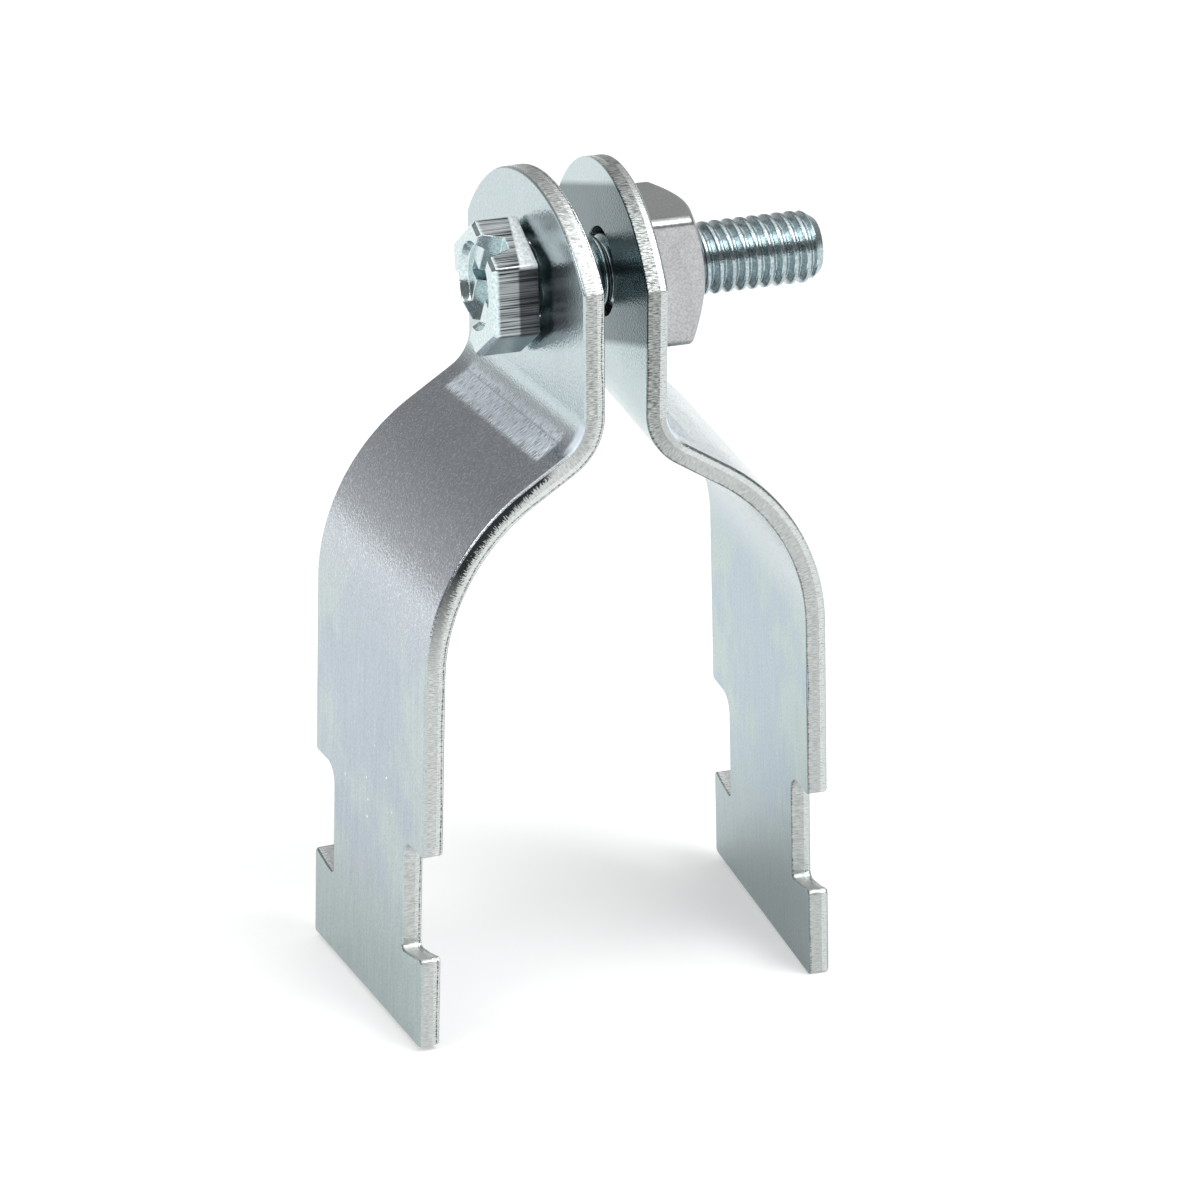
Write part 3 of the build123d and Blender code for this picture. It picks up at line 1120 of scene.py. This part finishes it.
    def scuffs_and_painted_highlight(self, ground: StripGround) -> bpy.types.NodeSocket:
        """How scuffed the outer face is: a ragged band of strokes with one smooth line in it, and a
        painted highlight on the bend's near corner.

        Args:
            ground: Where the point is on the strip, and the base patterns.

        Returns:
            A share from 0, plated, to 1, scuffed; the painted highlight is 1 as well.
        """
        n, along, across, strokes = ground.n, ground.along, ground.across, ground.strokes
        wander = n.add("MapRange", {0: strokes, 1: 0.3, 2: 0.7, 3: -0.4, 4: 0.4})
        shaken = n.add("Math", {0: along, 1: wander}, operation="ADD")
        after = n.add("MapRange", {0: shaken, 1: self.band_from, 2: self.band_from + 0.5})
        before = n.add("MapRange", {0: shaken, 1: self.band_to, 2: self.band_to - 1.8})
        off_line = n.add("Math", {0: along, 1: self.band_line}, operation="SUBTRACT")
        off_line = n.add("Math", {0: off_line}, operation="ABSOLUTE")
        off_line = n.add("MapRange", {0: off_line, 1: 0.1, 2: 0.3, 3: 0.5, 4: 1.0})
        off_middle = n.add("Math", {0: across}, operation="ABSOLUTE")
        wide = n.add("MapRange", {0: off_middle, 1: self.band_half, 2: self.band_half - 0.8})
        outside = n.add("MapRange", {0: ground.depth, 1: 0.5, 2: 0.6})
        rubbed = n.add("MapRange", {0: strokes, 1: 0.4, 2: 0.6, 3: 0.05, 4: 1.0})
        band = after
        for part in (before, off_line, wide, rubbed):
            band = n.add("Math", {0: band, 1: part}, operation="MULTIPLY")
        # Painted highlight: the bend's near corner is painted bright over a millimetre, in the
        # scuffs' colour
        corner = n.add("MapRange", {0: across, 1: -14.3, 2: -14.9})
        low = n.add("MapRange", {0: shaken, 1: 68.2, 2: 70.2})
        high = n.add("MapRange", {0: shaken, 1: 74.6, 2: 73.4})
        for part in (low, high):
            corner = n.add("Math", {0: corner, 1: part}, operation="MULTIPLY")
        band = n.add("Math", {0: band, 1: corner}, operation="MAXIMUM")
        return n.add("Math", {0: band, 1: outside}, operation="MULTIPLY")

    def sheared(
        self, ground: StripGround, smooth: bpy.types.NodeSocket
    ) -> bpy.types.NodeSocket:
        """The sheared rim: hatched torn metal, burnished metal, a crack and a band of painted dark
        reflection.

        Args:
            ground: Where the point is on the strip, and the base patterns.
            smooth: A share from 0, torn, to 1, burnished.

        Returns:
            Its colour.
        """
        n, along, depth, torn = ground.n, ground.along, ground.depth, ground.torn
        fine = n.add("MapRange", {0: torn, 1: 0.36, 2: 0.62})
        dark, light = linear(self.torn_dark), linear(self.torn_light)
        hatched = n.add("Mix", {0: fine, 6: dark, 7: light}, data_type="RGBA")
        # Up at the ear the hatching is strong; down the strip the rim is more evenly plated
        strong = n.add("MapRange", {0: along, 1: 66.0, 2: 77.0, 3: 0.62, 4: 0.0})
        even = n.add("Math", {0: strong, 1: smooth}, operation="MAXIMUM")
        even = n.add("MapRange", {0: even, 3: 0.12, 4: 0.85})
        colour = n.add("Mix", {0: even, 6: hatched, 7: linear(self.burnished)}, data_type="RGBA")
        # A thin dark crack wanders along the rim
        wave = n.add("MapRange", {0: ground.clouds, 1: 0.3, 2: 0.7, 3: -0.05, 4: 0.05})
        waved = n.add("Math", {0: depth, 1: wave}, operation="ADD")
        off_line = n.add("Math", {0: waved, 1: self.line_at}, operation="SUBTRACT")
        off_line = n.add("Math", {0: off_line}, operation="ABSOLUTE")
        line = n.add("MapRange", {0: off_line, 1: 0.045, 2: 0.02})
        broken = n.add("MapRange", {0: torn, 1: 0.42, 2: 0.56, 3: 0.9, 4: 0.25})
        line = n.add("Math", {0: line, 1: broken}, operation="MULTIPLY")
        # Painted reflection: along the seat the near rim's outer half is painted as a dark band with
        # a jagged border
        near = n.add("MapRange", {0: ground.across, 1: -9.0, 2: -12.0, 3: 0.0, 4: self.painted_reflection_band})
        begins = n.add("MapRange", {0: along, 1: 42.0, 2: 53.0})
        ends = n.add("MapRange", {0: along, 1: 66.8, 2: 65.2})
        narrow = n.add("MapRange", {0: along, 1: 60.0, 2: 66.0, 3: 0.5, 4: 0.74})
        jag = n.add("Math", {0: torn, 1: -1.1, 2: narrow}, operation="MULTIPLY_ADD")
        jag = n.add("Math", {0: jag, 1: 0.55}, operation="ADD")
        past = n.add("Math", {0: depth, 1: jag}, operation="SUBTRACT")
        past = n.add("MapRange", {0: past, 1: -0.03, 2: 0.05})
        band = near
        for part in (begins, ends, past):
            band = n.add("Math", {0: band, 1: part}, operation="MULTIPLY")
        # The crack and the painted reflection band share one dark colour
        dark = n.add("Math", {0: line, 1: band}, operation="MAXIMUM")
        return n.add("Mix", {0: dark, 6: colour, 7: linear(self.crack_and_painted_reflection)}, data_type="RGBA")


@dataclass(frozen=True)
class TrimmedZinc:
    """Bright electroplated zinc on a cold-forged screw head, whose sides were trimmed by a die.

    Trimming leaves dark and bright lines along the sides, up to where the metal broke away. The
    pressed end face keeps a smooth bright skin.
    """

    name: str
    front: float
    screw_height: float = 36.75
    skin: str = "#cbdadc"
    line_dark: str = "#2c2c2e"
    line_light: str = "#b9bfc1"
    broken: str = "#454548"
    # Painted light on the upper sides where the metal broke away
    broken_top_painted_light: str = "#eef3f5"
    underside: str = "#a3b1b1"

    def make(self) -> bpy.types.Material:
        """Builds the material on the object's own coordinates, turned to millimetres.

        Returns:
            The material.
        """
        made, n = new_finish(self.name)
        spot = n.add("TexCoord").node.outputs["Object"]
        mm = n.add("VectorMath", {0: spot, "Scale": 1000.0}, operation="SCALE")
        mm = n.add("VectorMath", {0: mm, 1: (-self.front, 0, -self.screw_height)}, operation="ADD")
        x, _, z = n.add("SeparateXYZ", {0: mm}).node.outputs
        side = n.add("Attribute", attribute_name="side").node.outputs["Vector"]
        side = n.add("SeparateXYZ", {0: side})
        # Lines a fifth of a millimetre apart that run along the screw
        drawn = n.add("VectorMath", {0: mm, 1: (0.07, 4.2, 4.2)}, operation="MULTIPLY")
        lines = n.add("TexNoise", {"Vector": drawn, "Scale": 1.3, "Detail": 2.0})
        line_mask = n.add("MapRange", {0: lines, 1: 0.38, 2: 0.64})
        grain = n.add("TexNoise", {"Vector": mm, "Scale": 3.5, "Detail": 2.0})
        dark, light = linear(self.line_dark), linear(self.line_light)
        trimmed = n.add("Mix", {0: line_mask, 6: dark, 7: light}, data_type="RGBA")
        # The break starts 3 mm in on the side that faces down the pipe, later on the upper ones
        upper = n.add("MapRange", {0: z, 1: 3.0, 2: 6.6})
        limit = n.add("MapRange", {0: upper, 1: 0.0, 2: 1.0, 3: 2.8, 4: 3.95})
        past = n.add("Math", {0: x, 1: limit}, operation="SUBTRACT")
        broken = n.add("MapRange", {0: past, 1: -0.12, 2: 0.12})
        dim_lines = n.add("MapRange", {0: lines, 1: 0.4, 2: 0.62, 3: 0.35, 4: 2.2})
        rear = n.add(
            "VectorMath", {0: linear(self.broken)[:3], "Scale": dim_lines}, operation="SCALE"
        )
        # Painted light: where they broke away, the upper sides are painted nearly white
        lit_tops = n.add("MapRange", {0: z, 1: 3.15, 2: 3.45})
        speck = n.add("MapRange", {0: grain, 1: 0.3, 2: 0.7, 3: 0.75, 4: 1.1})
        lit_top_colour = n.add(
            "VectorMath", {0: linear(self.broken_top_painted_light)[:3], "Scale": speck}, operation="SCALE"
        )
        rear = n.add("Mix", {0: lit_tops, 6: rear, 7: lit_top_colour}, data_type="RGBA")
        sides = n.add("Mix", {0: broken, 6: trimmed, 7: rear}, data_type="RGBA")
        below = n.add("MapRange", {0: z, 1: -4.0, 2: -4.3})
        low_side = n.add(
            "VectorMath", {0: linear(self.underside)[:3], "Scale": speck}, operation="SCALE"
        )
        sides = n.add("Mix", {0: below, 6: sides, 7: low_side}, data_type="RGBA")
        skin = n.add("VectorMath", {0: linear(self.skin)[:3], "Scale": speck}, operation="SCALE")
        colour = n.add("Mix", {0: side, 6: skin, 7: sides}, data_type="RGBA")
        rough = n.add("Mix", {0: side, 2: 0.15, 3: 0.3}, data_type="FLOAT")
        # Where the upper sides broke away they are painted nearly white and frosted, and scatter
        # some of the light
        frosted = n.add("Math", {0: side, 1: broken}, operation="MULTIPLY")
        frosted = n.add("Math", {0: frosted, 1: lit_tops}, operation="MULTIPLY")
        metallic = n.add("MapRange", {0: frosted, 3: 1.0, 4: 0.3})
        ridges = n.add("Math", {0: lines, 1: side}, operation="MULTIPLY")
        relief = n.add("Math", {0: ridges, 1: 3.0, 2: grain}, operation="MULTIPLY_ADD")
        bump = n.add("Bump", {"Strength": 0.35, "Distance": 0.00003, "Height": relief})
        shader = n.add(
            "BsdfPrincipled",
            {"Base Color": colour, "Metallic": metallic, "Roughness": rough, "Normal": bump},
        )
        n.add("OutputMaterial", {0: shader})
        return made


@dataclass(frozen=True)
class PlainZinc:
    """Electroplated zinc on a rolled thread or a tumbled nut, with an even grain.

    The thread was rolled smooth before plating, so its crests flash. Tumbling left the nut dull.
    """

    name: str
    colour: str
    dark: str
    roughness: float
    grain_scale: float
    bump: float

    def make(self) -> bpy.types.Material:
        """Builds the material on the object's own coordinates, turned to millimetres.

        Returns:
            The material.
        """
        made, n = new_finish(self.name)
        spot = n.add("TexCoord").node.outputs["Object"]
        mm = n.add("VectorMath", {0: spot, "Scale": 1000.0}, operation="SCALE")
        grain = n.add("TexNoise", {"Vector": mm, "Scale": self.grain_scale, "Detail": 3.0})
        clouds = n.add("TexNoise", {"Vector": mm, "Scale": 0.4, "Detail": 2.0})
        speck = n.add("MapRange", {0: grain, 1: 0.32, 2: 0.68})
        colour = n.add(
            "Mix", {0: speck, 6: linear(self.dark), 7: linear(self.colour)}, data_type="RGBA"
        )
        low, high = self.roughness - 0.05, self.roughness + 0.06
        rough = n.add("MapRange", {0: clouds, 1: 0.3, 2: 0.7, 3: low, 4: high})
        bump = n.add("Bump", {"Strength": self.bump, "Distance": 0.00003, "Height": grain})
        shader = n.add(
            "BsdfPrincipled",
            {"Base Color": colour, "Metallic": 1.0, "Roughness": rough, "Normal": bump},
        )
        n.add("OutputMaterial", {0: shader})
        return made


@dataclass(frozen=True)
class Lamp:
    """A square soft lamp: where it hangs, what it faces, its side in metres and its power."""

    name: str
    at: tuple[float, float, float]
    to: tuple[float, float, float]
    size: float
    power: float

    def make(self) -> None:
        """Hangs the lamp."""
        data = bpy.data.lights.new(self.name, "AREA")
        data.size, data.energy = self.size, self.power
        made = bpy.data.objects.new(self.name, data)
        made.location = self.at
        aim = Vector(self.to) - Vector(self.at)
        made.rotation_euler = aim.to_track_quat("-Z", "Y").to_euler()
        bpy.context.scene.collection.objects.link(made)


@dataclass
class Studio:
    """A white floor in a pale grey room, with a broad softbox in front and a small one at left."""

    floor_size: float = 6000.0
    floor_colour: str = "#dcdddd"
    floor_glow: float = 0.34
    floor_gap: float = 0.00002
    # The room's brightness: behind the object low down and higher up, in front of it, and overhead
    wall_low: float = 0.75
    wall_high: float = 0.3
    wall_in_front: float = 0.2
    ceiling: float = 1.5
    lamps: tuple[Lamp, ...] = (
        Lamp("front_softbox", (0.3, -0.42, 0.72), (0, 0, 0.02), 0.48, 4.4),
        Lamp("left_softbox", (-0.62, -0.2, 0.56), (0, 0, 0.02), 0.36, 1.6),
    )

    def make(self) -> None:
        """Lays the floor, hangs the lamps and sets the room's light."""
        bpy.context.scene.view_settings.view_transform = "Standard"
        size = self.floor_size / 2 * METRE
        mesh = bpy.data.meshes.new("floor")
        z = CAD_BOX[0].z - self.floor_gap
        spots = [(-size, -size, z), (size, -size, z), (size, size, z), (-size, size, z)]
        mesh.from_pydata(spots, [], [(0, 1, 2, 3)])
        floor = bpy.data.objects.new("floor", mesh)
        bpy.context.scene.collection.objects.link(floor)
        mesh.materials.append(self.floor_paint())
        for lamp in self.lamps:
            lamp.make()
        self.room()

    def floor_paint(self) -> bpy.types.Material:
        """White matt paint on a board, which scatters light evenly.

        Seen straight, in metal or through glass it is lifted to plain white, and the object's
        shadow still darkens it.

        Returns:
            The material.
        """
        made, n = new_finish("matt_painted_board")
        path = n.add("LightPath").node.outputs
        seen = n.add(
            "Math", {0: path["Is Camera Ray"], 1: path["Is Glossy Ray"]}, operation="MAXIMUM"
        )
        seen = n.add("Math", {0: seen, 1: path["Is Transmission Ray"]}, operation="MAXIMUM")
        # The lamps light the floor less far from the object, and the lift makes up for that
        spot = n.add("TexCoord").node.outputs["Object"]
        far = n.add("VectorMath", {0: spot}, operation="LENGTH")
        lift = n.add(
            "MapRange", {0: far, 1: 0.15, 2: 0.7, 3: self.floor_glow, 4: self.floor_glow + 0.35}
        )
        glow = n.add("Math", {0: seen, 1: lift}, operation="MULTIPLY")
        paint = n.add("BsdfDiffuse", {"Color": linear(self.floor_colour)})
        lifted = n.add("Emission", {"Color": (1, 1, 1, 1), "Strength": glow})
        both = n.add("AddShader", {0: paint, 1: lifted})
        n.add("OutputMaterial", {0: both})
        return made

    def room(self) -> None:
        """The room: pale low behind the object, grey above and in front of it, white overhead."""
        world = bpy.data.worlds.new("room")
        world.use_nodes = True
        n = Nodes(world.node_tree)
        way = n.add("TexCoord").node.outputs["Generated"]
        _, back, up = n.add("SeparateXYZ", {0: way}).node.outputs
        behind = n.add("MapRange", {0: up, 1: 0.0, 2: 0.5, 3: self.wall_low, 4: self.wall_high})
        turned = n.add("MapRange", {0: back, 1: -0.2, 2: 0.3})
        walls = n.add("Mix", {0: turned, 2: self.wall_in_front, 3: behind}, data_type="FLOAT")
        height = n.add("MapRange", {0: up, 1: 0.6, 2: 0.95})
        level = n.add("Mix", {0: height, 2: walls, 3: self.ceiling}, data_type="FLOAT")
        glow = n.add("Background", {"Color": (1, 1, 1, 1), "Strength": level})
        n.add("OutputWorld", {0: glow})
        bpy.context.scene.world = world


def main() -> None:
    """Builds and dresses every piece in order, and lays out the studio."""
    logging.basicConfig(level=logging.INFO, format="%(name)s: %(message)s")
    PhotoCamera().make()
    Studio().make()
    screw = HexScrew()
    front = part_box("hex_screw")[0].x / METRE
    strip_left = ZincStrip(
        "left_electroplated_rolled_steel", 3.0, painted_reflection_band=1.0, blistered=1.0
    ).make()
    strip_right = ZincStrip(
        "right_electroplated_rolled_steel",
        61.0,
        face="#9bacb6",
        cloud="#a6b7b5",
        foot="#98a8aa",
        seat="#adb7ba",
        ear="#b0bfc1",
        torn_dark="#454948",
        torn_light="#aeb2b0",
        line_at=0.05,
        foot_shade=0.35,
        painted_shade_patch=1.0,
    ).make()
    head_zinc = TrimmedZinc("electroplated_forged_and_trimmed_steel", front).make()
    thread_zinc = PlainZinc(
        "electroplated_rolled_thread_steel", "#bcc9cc", "#8e9ca0", 0.22, 4.0, 0.5
    ).make()
    nut_zinc = PlainZinc(
        "dull_electroplated_forged_steel", "#bbbcbd", "#9fa0a1", 0.36, 4.5, 0.3
    ).make()
    left, right = Strap(Side.LEFT).shell(), Strap(Side.RIGHT).shell()
    pieces = [
        ("left_strap_dressed", "left_strap", "left_strap", left, strip_left),
        ("right_strap_dressed", "right_strap", "right_strap", right, strip_right),
        ("square_nut_dressed", "nut", "square_nut", SquareNut().shell(), nut_zinc),
        ("screw_head", "screw", "hex_screw", screw.head(), head_zinc),
        ("screw_thread", "screw", "hex_screw", screw.thread(), thread_zinc),
    ]
    slots = {"left_strap": "left_strap_zinc", "right_strap": "right_strap_zinc"}
    slots |= {"square_nut": "nut_zinc", "hex_screw": "screw_zinc"}
    for name, body, node, shell, finish in pieces:
        piece = shell.make(name)
        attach(piece, body)
        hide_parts(node)
        piece.data.materials.append(finish)
        LOG.info("%s: %d faces", piece.name, len(piece.data.polygons))


if __name__ == "__main__":
    main()
